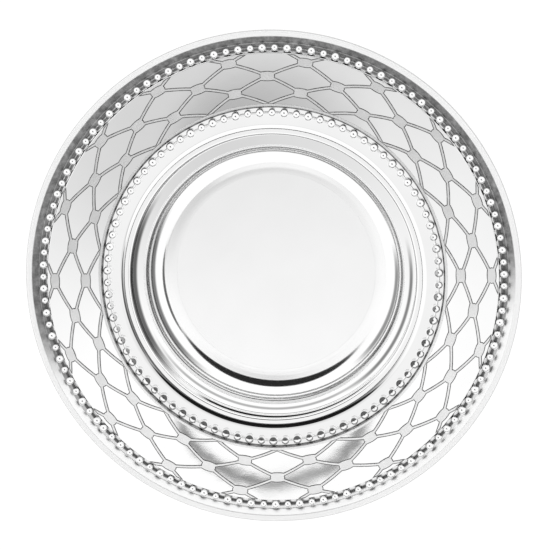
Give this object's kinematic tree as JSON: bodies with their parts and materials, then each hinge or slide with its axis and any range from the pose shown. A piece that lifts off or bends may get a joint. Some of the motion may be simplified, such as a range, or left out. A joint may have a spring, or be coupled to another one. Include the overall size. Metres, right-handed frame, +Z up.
{
  "type": "offering plate",
  "caption": "Round polished silver-coloured offering plate with a satin lattice border between two beaded rings and a stepped, flat-floored well.",
  "frame": {"origin": "middle of the plane that the foot ring stands on, on the plate's axis", "axes": "+Z up along the plate's axis, +X and +Y across the plate"},
  "size_m": [0.254, 0.254, 0.0263],
  "materials": {
    "silver_mirror": "mirror polished silver plate",
    "silver_bead": "bright polished silver plate, darkened between the beads",
    "silver_satin": "satin silver plate",
    "core_wire": "bright drawn wire, hidden inside the lip"
  },
  "bodies": {
    "root": {"rim_flange": "silver_mirror", "edge_wire": "core_wire", "outer_bead_wire": "silver_bead", "lattice_overlay": "silver_satin", "border_wire": "silver_satin", "inner_bead_wire": "silver_bead", "well_collar": "silver_mirror", "well_bowl": "silver_mirror", "foot_ring": "silver_mirror"}
  },
  "joints": []
}
